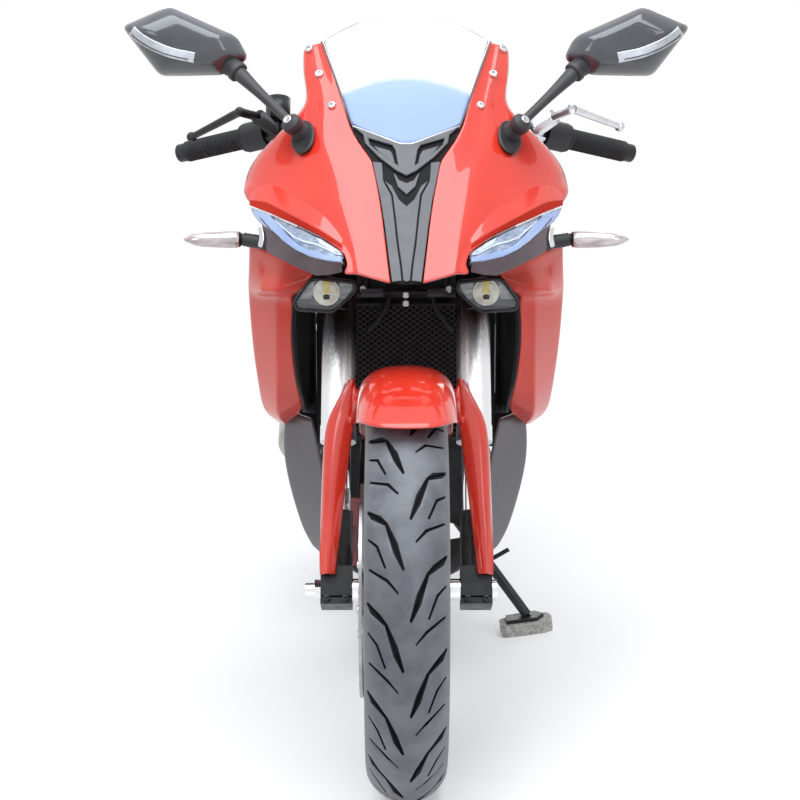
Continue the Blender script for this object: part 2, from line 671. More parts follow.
def screwHead(kind, steps=12):
    verts = []
    for even, odd, z in heads[kind]:
        for k, (c, s) in enumerate(circle(steps)):
            r = odd if k % 2 else even
            verts.append((r * c, r * s, z))
    rows = len(heads[kind])
    return meshFrom(kind + "Head", verts, bandFaces(rows, steps) + capFaces(rows, steps))


# Tyres: one half pitch of tread is cut as a flat tile, bent onto the crown and turned round the axle

tread = dict(
    pitches=14, depth=3.6, wall=0.7, edge=64.0, cells=(20, 11),
    # each groove: (degrees from the drawn pitch's start, angle across the crown, width in mm)
    drawnPitch=25.7,
    grooves=[
        [(0.9, 61, 3.4), (6.4, 27, 4.8), (18.4, 4.2, 3.4)],
        [(9.2, 59, 3.2), (11.9, 41, 4.2), (17.8, 28, 3.2)],
        [(17.6, 57, 3.2), (21.0, 25, 4.4), (24.2, 11, 3.2)],
    ],
    # points of the tile keep this far from a groove; faces this deep are dark
    clear=4.6, darkFrom=1.7,
    # radii at the rim: foot of the side wall, outer and inner edge of the bead, inside
    wallFoot=231.0, bead=(228.6, 219.6), inside=219.2,
)
tyres = dict(
    front=dict(radius=frontR, width=110.0, bead=37.95, reverse=False),
    rear=dict(radius=rearR, width=140.0, bead=50.96, reverse=True),
)
frontPhase = math.radians(37.2)


def grooveOutline(line, inset):
    left, right = [], []
    n = len(line)
    for i, (u, v, w) in enumerate(line):
        p = Vector((u, v))
        a = Vector(line[max(i - 1, 0)][:2])
        b = Vector(line[min(i + 1, n - 1)][:2])
        d1 = (p - a).normalized() if i > 0 else (b - p).normalized()
        d2 = (b - p).normalized() if i < n - 1 else d1
        t = (d1 + d2).normalized()
        side = Vector((-t.y, t.x)) / max(t.dot(d1), 0.5)
        half = w / 2 - inset
        push = t * (inset if i == 0 else -inset if i == n - 1 else 0)
        left.append(p + side * half + push)
        right.append(p - side * half + push)
    return left + right[::-1]


def tyreMesh(name, radius, width, bead, reverse):
    crown = width * 0.53
    pitch = 2 * math.pi / tread["pitches"]
    length = radius * pitch
    across = math.radians(1) * crown
    edge = tread["edge"] * across
    uSteps, vSteps = tread["cells"]
    points, edges, deep, cuts = [], [], set(), []

    def ring(pts, isDeep):
        base = len(points)
        points.extend(pts)
        edges.extend((base + k, base + (k + 1) % len(pts)) for k in range(len(pts)))
        if isDeep:
            deep.update(range(base, len(points)))

    border = [Vector((length * i / uSteps, 0)) for i in range(uSteps)]
    border += [Vector((length, edge * i / vSteps)) for i in range(vSteps)]
    border += [Vector((length * (1 - i / uSteps), edge)) for i in range(uSteps)]
    border += [Vector((0, edge * (1 - i / vSteps))) for i in range(vSteps)]
    ring(border, False)
    perDegree = math.radians(1) * radius
    drawn = 360 / tread["pitches"]
    for groove in tread["grooves"]:
        cuts.append([(u * perDegree * drawn / tread["drawnPitch"], v * across, w) for u, v, w in groove])
        ring(grooveOutline(cuts[-1], 0), False)
        ring(grooveOutline(cuts[-1], tread["wall"]), True)

    def nearGroove(p):
        for line in cuts:
            for i in range(len(line) - 1):
                a, b = Vector(line[i][:2]), Vector(line[i + 1][:2])
                t = max(0, min(1, (p - a).dot(b - a) / (b - a).length_squared))
                if (a + (b - a) * t - p).length < tread["clear"]:
                    return True
        return False

    inner = [Vector((length * i / uSteps, edge * j / vSteps))
             for i in range(1, uSteps) for j in range(1, vSteps)]
    points += [p for p in inner if not nearGroove(p)]
    flat, _, tris, origin, _, _ = geometry.delaunay_2d_cdt(points, edges, [], 0, 1e-4)
    rowAt = lambda v: (crown * math.sin(v / crown), radius - crown + crown * math.cos(v / crown))
    wheelAt = lambda x, r, u: (x, -r * math.cos(-u / radius), r * math.sin(-u / radius))
    verts, faces = [], []
    for p, ids in zip(flat, origin):
        x, r = rowAt(p.y)
        if any(o in deep for o in ids):
            x -= tread["depth"] * math.sin(p.y / crown)
            r -= tread["depth"] * math.cos(p.y / crown)
        verts.append(wheelAt(x, r, p.x))
    for t in tris:
        a, b, c = (flat[i] for i in t)
        if abs((b - a).cross(c - a)) > 1e-6:
            faces.append(tuple(t))
    # side wall, bead and inner face: rows of width and radius
    sx, sr = rowAt(edge)
    half = width / 2
    side = [(sx, sr), (sx + (half - sx) * 0.7, sr - 4), (half, sr - 9), (half + 0.6, sr - 12),
            (half - 0.4, sr - 14)]
    top, low = Vector((half - 1.2, sr - 17)), Vector((bead + 1.2, tread["wallFoot"]))
    for k in range(1, 5):
        p = top.lerp(low, k / 4)
        side.append((p.x + 2.2 * math.sin(math.pi * k / 4), p.y))
    side += [(bead - 0.4, tread["bead"][0]), (bead - 0.6, tread["bead"][1])]
    side += [(bead - 14, tread["inside"]), (0, tread["inside"])]
    base = len(verts)
    n = uSteps + 1
    verts += [wheelAt(x, r, length * i / uSteps) for x, r in side for i in range(n)]
    for j in range(len(side) - 1):
        for a in range(base + j * n, base + j * n + uSteps):
            faces.append((a, a + 1, a + n + 1, a + n))
    tile = meshFrom(name + "Tile", verts, faces)
    other = tile.copy()
    tile.transform(Matrix.Rotation(-pitch / 2, 4, "X"))
    other.transform(Matrix.Scale(-1, 4, Vector((1, 0, 0))))
    with edited(tile) as bm:
        bm.from_mesh(other)
        if reverse:
            bmesh.ops.scale(bm, vec=(1, -1, 1), verts=bm.verts)
        weld(bm, 0.02)
    mesh = runTree(tile, turnTree, {"Count": tread["pitches"], "Finish": mats["tyreRubber"]})
    mesh.materials.clear()
    for finish in ("tyreRubber", "grooveRubber"):
        mesh.materials.append(mats[finish])
    with edited(mesh) as bm:
        bmesh.ops.recalc_face_normals(bm, faces=bm.faces)
        for f in bm.faces:
            c = f.calc_center_median()
            r = math.hypot(c.y, c.z) - radius + crown
            onTread = abs(math.atan2(c.x, r)) < math.radians(tread["edge"])
            if onTread and crown - math.hypot(c.x, r) > tread["darkFrom"]:
                f.material_index = 1
    mesh.name = name
    return mesh


atAxle = dict(front=Matrix.Translation((0, 0, frontR)) @ Matrix.Rotation(-frontPhase, 4, "X"),
              rear=Matrix.Translation(rearAxle))
for end, spec in tyres.items():
    mesh = tyreMesh(end + "TyreTread", **spec)
    mesh.transform(toRow @ atAxle[end])
    smoothAll(mesh, 32)
    addPiece(mesh.name, mesh, end + "_wheel", (end + "_tyre",))
    print(end, "tyre", len(mesh.polygons))

# Nose trim: stepped plates between the cowl halves, outlines in x and height

trim = dict(
    screenEdge=[(0, 912.6), (10, 913.6), (34, 922.4), (75, 937.5)],
    edge=[(77.0, 934), (49, 891), (44.4, 872), (36.6, 838), (30.6, 803), (25.6, 766), (20.6, 731.5)],
    groove=[(33, 888), (31, 863), (20, 844), (16, 815), (12, 780), (7.6, 752), (5.6, 733)],
    chevron=[(75, 937), (60.5, 925), (57.5, 913), (38, 893.5), (13, 875), (0, 869)],
    pocket=[(53, 920), (20, 910.6), (15.6, 904), (11.6, 883), (40, 903), (50, 911)],
    pocketFloor=[(46, 911), (23, 904.6), (19, 899), (16, 886), (38, 902)],
    shield=[(0, 860), (10, 864), (16.6, 873.5), (17.8, 872), (12, 855), (0, 844.5)],
    stripTop=[(0, 829), (10, 837.5), (20, 856), (27, 861)],
)


def makeTrim():
    t = trim
    made = newBin("greyTrim")
    addPlate(made, bothSides(t["screenEdge"] + t["edge"] + [(0, 729.5)]), -0.4, 3.0, 0.6, "coreBlack")
    # the rails and strip stop this far from the edges they follow
    gap = 0.9
    rail = [(47.4, 889.5)] + [(x - gap, z) for x, z in t["edge"][2:]]
    rail += [(x + gap, z) for x, z in t["groove"][::-1]]
    for turn in bothWays:
        addPlate(made, turn(rail), 1.9, 2.0, 0.7)
        addPlate(made, turn(t["pocketFloor"]), 2.0, 2.2, 0.5)
    strip = bothSides(t["stripTop"] + [(x - gap, z) for x, z in t["groove"][1:]] + [(0, 731)])
    addPlate(made, strip, 3.2, 3.4, 0.8)
    chevron = bothSides([(0, 911.4)] + [(x, z - 1.2) for x, z in t["screenEdge"][1:3]] + t["chevron"])
    addPlate(made, chevron, 4.6, 4.8, 0.9, holes=[turn(t["pocket"]) for turn in bothWays])
    addPlate(made, bothSides(t["shield"]), 2.6, 2.8, 0.6)
    pieceFrom("noseTrimPlates", made, ("nose_trim",))


makeTrim()
print("nose trim")

# Headlamps: a pale outer band, a reflector bed, a light strip and a clear cover

lamp = dict(
    upper=[(226, 824.5), (199, 817.5), (179, 810.4), (149, 800.4), (117, 787.4), (88, 772.5)],
    lower=[(88.4, 757), (109, 757.6), (134, 761.6), (155, 769.6), (174, 780.6), (194, 793.4), (210, 803.6),
           (219, 812.4)],
    inner=[(196, 815), (181, 802), (166, 788), (150, 777), (134, 771), (109, 766), (90, 764.6)],
    strip=[(190, 810), (177, 800), (159, 788), (145, 783.4), (127, 780.4), (115, 776), (100, 769.6),
           (91, 768.4)],
    glint=[(128, 790), (112, 783), (92, 772), (92, 769.6), (104, 772.6), (122, 781)], stripWidth=2.4,
)


def makeLamps():
    beds, covers = newBin("lampBand"), newBin("lensClear")
    whole = lamp["upper"] + lamp["lower"]
    band = lamp["inner"][::-1] + [(205, 817.6), (226, 823.5)] + lamp["lower"][::-1]
    bed = lamp["upper"][1:] + [(89, 765.4)] + lamp["inner"][::-1]
    strip = bandLoop(lamp["strip"], lamp["stripWidth"] / 2)
    for turn in bothWays:
        addPlate(beds, turn(whole), -12.0, 2.0, 0.5, "darkTrim")
        addPlate(beds, turn(bed), -7.5, 3.5, 1.2, "lampReflector")
        addPlate(beds, turn(band), -2.4, 8.0, 1.0)
        addPlate(beds, turn(strip), -4.4, 3.0, 0.6, "lampStrip")
        addPlate(beds, turn(lamp["glint"]), -4.0, 3.4, 0.8, "lampStrip")
        addPlate(covers, turn(whole), 0.4, 1.6, 0.8)
    pieceFrom("headlampBeds", beds, ("headlamps",))
    pieceFrom("headlampCovers", covers)


makeLamps()
print("headlamps")

# Dark panel under each headlamp, leaning back towards its lower edge

lampPanel = dict(
    upper=[(88, 756), (109, 757), (134, 761), (155, 769.6), (174, 782), (194, 797), (209, 811)],
    lower=[(197, 763), (182, 757), (152, 745.4), (124, 736), (106, 738), (88, 742)], lean=14.0, thick=3.0,
    gap=3.0, bracket=[(205, 796), (212, 797), (209, 782), (212, 770), (205, 768), (202, 782)],
)


def makeLampPanels():
    upper, lower = lampPanel["upper"], lampPanel["lower"]

    def onPanel(x, z, lift):
        top, low = levelAt(upper, x), levelAt(lower, x)
        t = min(max((top - z) / max(top - low, 1), 0), 1)
        p = noseAt(x, z)
        p.y += lampPanel["gap"] + lampPanel["lean"] * t - lift
        return p

    made = newBin("brownTrim")
    addPlate(made, upper + lower, 0, lampPanel["thick"], 0.9, cell=11, at=onPanel)
    addPlate(made, roundLoop(lampPanel["bracket"], 4, 3), 3.4, 4.0, 0.8, "satinSilver", cell=20, at=onPanel)
    addTwin(made)
    pieceFrom("lampPanels", made, ("lamp_surround",), 35)


makeLampPanels()
print("lamp panels")

# Brow: a ridge in the cowl along the lamp's upper edge, its lower face turned down

brow = dict(
    crest=[(226, 833), (214, 832.6), (197, 830), (178, 822.4), (158, 813.4), (137, 804), (117.5, 795),
           (101, 786.4), (88, 779.3)],
    lower=[(226, 826), (214, 822.6), (198, 818.4), (179, 811.4), (158, 804.4), (137, 796.6), (117.5, 788.6),
           (101, 780.6), (88, 774)],
    fade=[9, 20, 26, 28, 28, 27, 24, 18, 9], proud=4.6,
)


def makeBrows():
    made = newBin("redPaint")
    rings = []
    last = len(brow["crest"]) - 1
    for i, ((x, z), (lx, lz), fade) in enumerate(zip(brow["crest"], brow["lower"], brow["fade"])):
        up = (Vector((x, z)) - Vector((lx, lz))).normalized()
        high = brow["proud"] * min(1.0, 0.25 + 1.6 * min(i, last - i) / last)
        rows = [(fade, -0.6), (fade * 0.72, high * 0.16), (fade * 0.42, high * 0.5), (fade * 0.16, high * 0.86),
                (1.2, high), (-0.6, high * 0.94)]
        ring = [noseAt(x + up.x * d, z + up.y * d, lift) for d, lift in rows]
        ring += [noseAt(lx, lz, 0.4), noseAt(lx, lz, -2.0), noseAt(x + up.x * fade, z + up.y * fade, -2.2)]
        rings.append(ring)
    n = len(rings[0])
    columns = [curveThrough([ring[k] for ring in rings], 4) for k in range(n)]
    addRings(made, [list(r) for r in zip(*columns)])
    lowerFace = {len(rows) - 1, len(rows)}
    shade = kindOf(made, "redShade")
    made["kinds"] = [shade if {v % n for v in f} == lowerFace else 0 for f in made["faces"]]
    addTwin(made)
    pieceFrom("lampBrows", made, (), 40)


makeBrows()
print("brows")

# Bead round the screen's lower edges: dark up the sides, bright along the bottom

bead = dict(
    side=[(123.6, 1060.4), (107.2, 1020), (91.2, 978.4), (78, 943.5), (76, 938.6)], radius=1.3, lift=3.2,
)


def makeScreenBead():
    made = newBin("greyTrim")
    for finish, line in (("greyTrim", bead["side"]), ("satinSilver", trim["screenEdge"][::-1])):
        path = curveThrough([noseAt(x, z, bead["lift"]) for x, z in line], 4)
        addTube(made, path, bead["radius"], 8, finish=finish)
    addTwin(made)
    pieceFrom("screenBead", made)


makeScreenBead()
print("screen bead")

# Side fairings: rows of front edge, fold, end of the blade's recess, widest line and rear edge

fairing = dict(
    blade=[
        [(131, 88, 730.9), (173.6, 101, 753), (212, 150, 765), (229, 182, 766), (230, 330, 772)],
        [(132.4, 89, 729.5), (178, 112, 731), (209, 172, 730), (233, 214, 732), (232, 420, 752)],
        [(134.8, 90, 727), (182, 100, 707.5), (211, 148, 702.5), (237, 240, 702), (235, 500, 732)],
        [(153, 96, 706), (184, 108, 701), (211, 158, 698), (237.5, 248, 697), (235.5, 520, 727)],
    ],
    body=[
        [(166, 160, 693), (190, 176, 694), (238, 262, 684), (236, 560, 716)],
        [(171, 195, 629), (193, 214, 625), (237, 302, 617), (232, 660, 650)],
        [(168, 255, 558), (197, 274, 553), (233, 352, 546), (224, 690, 566)],
        [(162, 322, 512), (202, 350, 488), (228, 424, 486), (212, 716, 492)],
        [(168, 362, 490), (196, 448, 458), (206, 484, 454), (198, 700, 452)],
    ],
    bow=6.0, thick=0.003, fold=0.95, cuts=(3, 2, 2, 6),
)


def fairingRow(points):
    points = [Vector(p) for p in points]
    if len(points) == 4:
        points.insert(2, points[1].lerp(points[2], 0.55))
    row = []
    for k, cuts in enumerate(fairing["cuts"]):
        for i in range(cuts):
            t = i / cuts
            p = points[k].lerp(points[k + 1], t)
            if k == 3:
                p.x += fairing["bow"] * 4 * t * (1 - t)
            row.append(p)
    return row + [points[4]]


def makeFairings():
    body = [fairingRow(q) for q in fairing["body"]]
    columns = [curveThrough([row[j] for row in body], 3) for j in range(len(body[0]))]
    rows = [fairingRow(q) for q in fairing["blade"]] + [list(r) for r in zip(*columns)]
    n = len(rows[0])
    verts = [p for row in rows for p in row]
    faces = [(i * n + j, i * n + j + 1, (i + 1) * n + j + 1, (i + 1) * n + j)
             for i in range(len(rows) - 1) for j in range(n - 1)]
    made = newBin("fairingRed")
    putIn(made, verts, faces)
    addTwin(made)
    mesh = meshFrom("sideFairingSkins", made["verts"], made["faces"])
    _, fold, recess, wide, _ = (sum(fairing["cuts"][:k]) for k in range(5))
    with edited(mesh) as bm:
        crease = bm.edges.layers.float.new("crease_edge")
        for e in bm.edges:
            (i0, j0), (i1, j1) = (divmod(v.index % len(verts), n) for v in e.verts)
            onFold = j0 == j1 == fold and min(i0, i1) >= 3
            onWide = j0 == j1 == wide
            onBlade = i0 == i1 and i0 in (1, 2, 3) and max(j0, j1) <= recess
            onEnd = j0 == j1 == recess and max(i0, i1) <= 3
            if onFold or onWide or onBlade or onEnd:
                e[crease] = fairing["fold"] * (0.8 if onWide else 1.0)
            elif len(e.link_faces) == 1:
                e[crease] = 1.0
        bmesh.ops.recalc_face_normals(bm, faces=bm.faces)
        for side in (1, -1):
            part = [f for f in bm.faces if f.calc_center_median().x * side > 0]
            if sum(f.normal.x * side for f in part) < 0:
                bmesh.ops.reverse_faces(bm, faces=part)
    mesh.transform(toRow)
    smoothAll(mesh)
    obj = addPiece(mesh.name, mesh, "chassis", ("side_fairings",), made["finishes"])
    wall = obj.modifiers.new("wall", "SOLIDIFY")
    wall.thickness, wall.offset = fairing["thick"], -1
    wall.edge_crease_rim = wall.edge_crease_outer = wall.edge_crease_inner = 0.9
    roundOff(obj, 2)
    return BVHTree.FromPolygons(made["verts"], made["faces"])


fairingSkin = makeFairings()
print("side fairings")

# Webs that close the gap between the mudguard's sides and the fork guards

web = dict(
    edge=[(74.2, 89.6, 571.5), (74.5, 86.2, 564.2), (75, 80.2, 551), (74.8, 73.9, 537.2), (75, 66.9, 521.8)],
    reach=[2.0, 5.5, 8.5, 5.0, 1.0], thick=2.6,
)


def makeWebs():
    made = newBin("redPaint")
    rings = []
    cuts = 3
    for i, p in enumerate(curveThrough(web["edge"], cuts)):
        a, b = p + Vector((2.5, -1.5, 0)), p - Vector((web["reach"][i // cuts], 0, 0))
        back = Vector((0, web["thick"], web["thick"] * 0.4))
        mid = a.lerp(b, 0.5)
        rings.append([a, mid - Vector((0, 1.2, 0)), b, b + back, mid + back, a + back])
    addRings(made, rings)
    addTwin(made)
    pieceFrom("mudguardWebs", made, (), 50, "steering")


makeWebs()
print("mudguard webs")

# Mirrors: rounded shells with a light strip along the lower edge, tapered arms, oval feet

mirror = dict(
    outline=[(415, 1083), (360, 1011), (266, 1013), (230, 1037), (246, 1070), (344, 1113)], middle=(312, 1060),
    rings=[(0.985, 222), (1, 219), (1, 212), (0.965, 206), (0.90, 199), (0.80, 191), (0.68, 184),
           (0.56, 180), (0.3, 178.4)],
    strip=[(399, 1077), (389, 1068), (374, 1058.5), (356, 1050), (336, 1043), (306, 1037)], stripHalf=7.4,
    foot=(149, 927), neck=(246, 198, 1018), armRadii=[7.0, 6.8, 6.8, 7.0, 7.4, 8.0, 9.0, 10.2, 11.6, 12.4],
    # turned rows of (radius, height) where the arm meets the shell and the foot, and of the screw in the foot
    collar=[(13.2, -6), (15.4, -4), (15.8, 2), (14.2, 6), (14.2, 9), (16, 11), (15.4, 17)],
    boot=[(16.5, 0.6), (16.5, 5), (14, 12), (12.6, 20), (14.4, 22), (15.2, 27), (14, 34), (9, 39)],
    screw=[(6.4, 0), (6.4, 2.6), (5.2, 3.8), (2.6, 3.4)],
    oval=dict(x=146, z=921, wide=15, slant=8, tall=22), glassFrom=222.4, glassScale=0.93,
)


def makeMirrors():
    shells, glass = newBin("mirrorBlack"), newBin("mirrorGlass")
    loop = roundLoop(mirror["outline"], 11)
    mx, mz = mirror["middle"]
    scaled = lambda k: [(mx + (x - mx) * k, mz + (z - mz) * k) for x, z in loop]
    faces = addRings(shells, [[Vector((x, y, z)) for x, z in scaled(k)] for k, y in mirror["rings"]])
    skin = BVHTree.FromPolygons(shells["verts"], faces)

    def onShell(x, z, lift):
        hit, normal, _, _ = skin.ray_cast(Vector((x, 100, z)), Vector((0, 1, 0)))
        if hit is None:
            hit, normal, _, _ = skin.find_nearest(Vector((x, 180, z)))
        return hit + (normal if normal.y < 0 else -normal) * lift

    line = [tuple(p.xy) for p in curveThrough([(x, z, 0) for x, z in mirror["strip"]], 4)]
    addPlate(shells, bandLoop(line, mirror["stripHalf"]), 1.2, 2.4, 0.8, "lampStrip", cell=7, at=onShell)
    seam = [(x + 1.5, z - 3.4) for x, z in line[1:-1]]
    addPlate(shells, bandLoop(seam, 0.8), 2.0, 2.0, 0.3, "greyTrim", cell=7, at=onShell)
    base = noseAt(*mirror["foot"])
    out = (noseAt(*mirror["foot"], 1) - base).normalized()
    knuckle, neck = base + out * 26, Vector(mirror["neck"])
    along = (neck - knuckle).normalized()
    tip = neck + along * 12
    last = len(mirror["armRadii"]) - 1
    arm = [knuckle.lerp(tip, k / last) for k in range(last + 1)]
    addTube(shells, arm, mirror["armRadii"], 18, finish="armGrey")
    addTurned(shells, mirror["collar"], neck, along, 22, "armGrey")
    addTurned(shells, mirror["boot"], base, out, 22, "armGrey")
    o = mirror["oval"]
    oval = [(o["x"] + o["wide"] * c - o["slant"] * s, o["z"] + o["slant"] * c + o["tall"] * s)
            for c, s in circle(24)]
    addPlate(shells, oval, 7.5, 7.2, 2.0, "darkTrim")
    addTurned(shells, mirror["screw"], knuckle + out * 12.5, out, 18, "satinSilver")
    addTwin(shells)
    onBack = lambda x, z, lift: Vector((x, mirror["glassFrom"] + lift, z))
    addPlate(glass, scaled(mirror["glassScale"]), 3.0, 2.8, 0.6, cell=40, at=onBack)
    addTwin(glass)
    pieceFrom("mirrorShells", shells, ("mirrors",), 34)
    pieceFrom("mirrorGlassPlates", glass, ("mirror_glass",))


makeMirrors()
print("mirrors")

# Lower lamps: a rimmed housing with a round projector and two panes behind a clear cover

lowerLamp = dict(
    outline=[(70, 724), (128, 730), (138, 726), (160, 696), (155, 682), (102, 679), (70, 709)],
    front=56.0, back=99.4, spot=(112, 708.5), radius=18.0,
    glass=[[(151, 699), (141, 714), (133, 723), (129, 724), (132, 699)],
           [(93, 699), (94, 722), (76, 720), (77, 713), (86, 699)]],
    # on the projector, from its middle: the amber bar and the dark mark; below it, the ledge
    bar=[(-5, -1), (5, -1), (5, 17), (-5, 17)], mark=[(-4, -10), (4, -10), (5, -4), (0, -2), (-5, -4)],
    ledge=[(-30, -24), (34, -23), (36, -20), (-6, -20)],
)


def makeLowerLamps():
    units, covers = newBin("darkTrim"), newBin("lensClear")
    q = lowerLamp
    (cx, cz), r = q["spot"], q["radius"]
    onFace = lambda x, z, lift: Vector((x, q["front"] - lift, z))
    bulge = lambda x, z: q["front"] - 7.4 + 0.009 * ((x - cx) ** 2 + (z - cz) ** 2)
    onDome = lambda x, z, lift: Vector((x, bulge(x, z) - lift, z))
    fromSpot = lambda pts: [(cx + x, cz + z) for x, z in pts]
    loop = leftTurning(roundLoop(q["outline"], 7, 3)[::-1])
    inner = insetLoop(loop, 3.6)
    addPlate(units, loop, 0, q["back"] - q["front"], 2.0, cell=60, at=onFace)
    addPlate(units, loop, 10, 10.4, 1.2, holes=[inner], cell=60, at=onFace)
    addPlate(units, inner, 0.8, 1.2, 0.4, "lampSmoke", cell=60, at=onFace)
    face, forwards = onFace(cx, cz, 0), (0, -1, 0)
    addTurned(units, [(r + 1.5, 0), (r + 1.5, 3), (r + 0.8, 4.5), (r, 3.5)], face, forwards, 28, "chrome")
    dome = [(r, 0), (r, 3.2), (r * 0.9, 5), (r * 0.6, 6.6), (r * 0.2, 7.2)]
    addTurned(units, dome, face, forwards, 28, "lampCream")
    addPlate(units, fromSpot(q["bar"]), 0.6, 1.4, 0.3, "lampAmber", cell=5, at=onDome)
    addPlate(units, fromSpot(q["mark"]), 0.5, 1.4, 0.3, cell=5, at=onDome)
    addPlate(units, fromSpot(q["ledge"]), 2.4, 2.8, 0.5, "greyTrim", cell=60, at=onFace)
    for pane in q["glass"]:
        addPlate(units, pane, 2.2, 1.6, 0.4, "paneGrey", cell=60, at=onFace)
    addPlate(covers, inner, 9.4, 1.4, 0.6, cell=20, at=onFace)
    addTwin(units)
    addTwin(covers)
    pieceFrom("lowerLampUnits", units, ("lamp_housings", "lower_lamps"))
    pieceFrom("lowerLampCovers", covers)


makeLowerLamps()
print("lower lamps")

# Indicators: pods with a lens on their front or rear half, on dark stalks

indicator = dict(
    # pod: (distance from the tip, half height, half depth); lens: how far from the stalk and middle it starts
    rows=[(0, 7, 8), (12, 13, 16), (60, 11, 14), (78, 6, 9), (86, 1.5, 3)], steps=24,
    lensFrom=(5, 1.5), lensProud=0.8, stalk=[9.5, 10.5, 10.0, 8.5],
    collar=[(8.4, 0), (10.0, 1), (10.0, 2.6), (8.4, 3.6)], collars=(9, 4.4),
)
indicators = {
    "front": dict(root=(152, 108.6, 766), tip=(236, 148, 777), facing=-1, lens="pinkLens"),
    "rear": dict(root=(110.6, 1568.4, 712.2), tip=(136, 1568.4, 712.2), facing=1, lens="amberLens"),
}


def addPod(bin_, tip, facing, lens):
    rings = [[tip + Vector((q[0], q[2] * c, q[1] * s)) for c, s in circle(indicator["steps"])]
             for q in curveThrough(indicator["rows"], 3)]
    firstFace, firstVert = len(bin_["faces"]), len(bin_["verts"])
    addRings(bin_, rings)
    inLens = lambda p: p.y * facing > indicator["lensFrom"][1] and p.x > indicator["lensFrom"][0]
    verts = bin_["verts"]
    for i in range(firstFace, len(bin_["faces"])):
        face = bin_["faces"][i]
        if inLens(sum((verts[k] for k in face), Vector()) / len(face) - tip):
            bin_["kinds"][i] = kindOf(bin_, lens)
    for v in verts[firstVert:]:
        if inLens(v - tip):
            v.y += facing * indicator["lensProud"]


def makeIndicators(end, root, tip, facing, lens):
    made = newBin("darkTrim")
    root, tip = Vector(root), Vector(tip)
    bend, path = root, [root, tip + Vector((2, 0, 0))]
    if facing < 0:
        bend = root + Vector((0, 16, 0))
        path = curveThrough([root, bend, bend.lerp(tip, 0.5), tip + Vector((3, 0, 0))], 4)
    addTube(made, path, indicator["stalk"], 16)
    across = (tip - bend).normalized()
    for back in indicator["collars"]:
        addTurned(made, indicator["collar"], tip - across * back, across, 18)
    addPod(made, tip, facing, lens)
    addTwin(made)
    pieceFrom(end + "IndicatorSet", made, (end + "_indicators",), 38)


for end, spec in indicators.items():
    makeIndicators(end, **spec)
print("indicators")

# Hand levers: the CAD pair, black on the brake side and silver on the clutch side

leverFinish = dict(brake="blackMetal", clutch="satinSilver")


def makeLevers():
    mesh = copyOf("hand_levers", "handLeverPair")
    mesh.materials.clear()
    for side in ("brake", "clutch"):
        mesh.materials.append(mats[leverFinish[side]])
    with edited(mesh) as bm:
        weld(bm)
        for f in bm.faces:
            f.material_index = 0 if (fromRow @ f.calc_center_median()).x < 0 else 1
    smoothAll(mesh, 42)
    addPiece(mesh.name, mesh, "steering", ("hand_levers",))


makeLevers()

# Grips: ribbed sleeves with a flange at the inner end

grip = dict(barIn=(127, -26, 722), barOut=(346, 112, 731), length=118.0, radius=16.5, ribs=19, ribDepth=1.3)


def makeGrips():
    outer, length = Vector(grip["barOut"]), grip["length"]
    along = (outer - Vector(grip["barIn"])).normalized()
    r, d = grip["radius"], grip["ribDepth"]
    rows = [(r + 3, 0.2), (r + 5, 1.4), (r + 5, 4.4), (r + 3, 6), (r, 7)]
    step = (length - 18) / grip["ribs"]
    for k in range(grip["ribs"]):
        z = 9 + k * step
        rows += [(r, z), (r, z + step * 0.5), (r - d, z + step * 0.62), (r - d, z + step * 0.9)]
    rows += [(r, length - 8), (r, length - 2), (r - 2, length - 0.3)]
    made = newBin("softRubber")
    addTurned(made, rows, outer - along * length, along, 28)
    addTwin(made)
    made["verts"] = [steer @ v for v in made["verts"]]
    pieceFrom("gripSleeves", made, ("grips",), 35, "steering")


makeGrips()
print("levers and grips")

# Radiator: a diamond grille before the core, its frame, upper rail with two blocks and screws, and two cables

radiator = dict(
    half=119.0, low=458.0, high=664.0, front=331.4, across=20, up=24, strand=0.75, frame=3.4,
    rail=[(-78, 326, 683), (-20, 325, 684), (20, 325, 684), (78, 326, 683)], blocks=((-52, 17), (48, 15)),
    screws=((0, 681), (0, 668), (-66, 690), (66, 690)), cable=3.6,
    cables=[[(-24, 322, 684), (-27, 318, 672), (-34, 317, 655), (-46, 319, 638), (-58, 325, 624)],
            [(40, 322, 684), (42, 318, 673), (49, 317, 656), (60, 319, 640), (73, 325, 624)]],
)


def makeGrille():
    q = radiator
    w, h = 2 * q["half"] / q["across"], (q["high"] - q["low"]) / q["up"]
    cell = newBin("grilleDark")
    lift = Vector((0, q["strand"], 0))
    for s in (1, -1):
        d = Vector((w, 0, s * h)).normalized()
        side = Vector((-d.z, 0, d.x)) * q["strand"]
        ends = Vector((-w / 2, 0, -s * h / 2)), Vector((w / 2, 0, s * h / 2))
        verts = [p + sgn * side + off for off in (lift, -lift) for p in ends for sgn in (1, -1)]
        putIn(cell, verts, [(4, 5, 7, 6), (0, 2, 3, 1), (0, 4, 6, 2), (1, 3, 7, 5)])
    unit = meshFrom("grilleCell", cell["verts"], cell["faces"])
    with edited(unit) as bm:
        for f in bm.faces:
            if f.normal.y > 0.5 and f.calc_center_median().y < 0:
                f.normal_flip()
    spots = [((-q["half"] + (i + 0.5) * w, q["front"], q["low"] + (j + 0.5) * h), Matrix.Identity(3), 1.0)
             for i in range(q["across"]) for j in range(q["up"])]
    setParts("radiatorGrille", unit, spots, "chassis", "grilleDark")


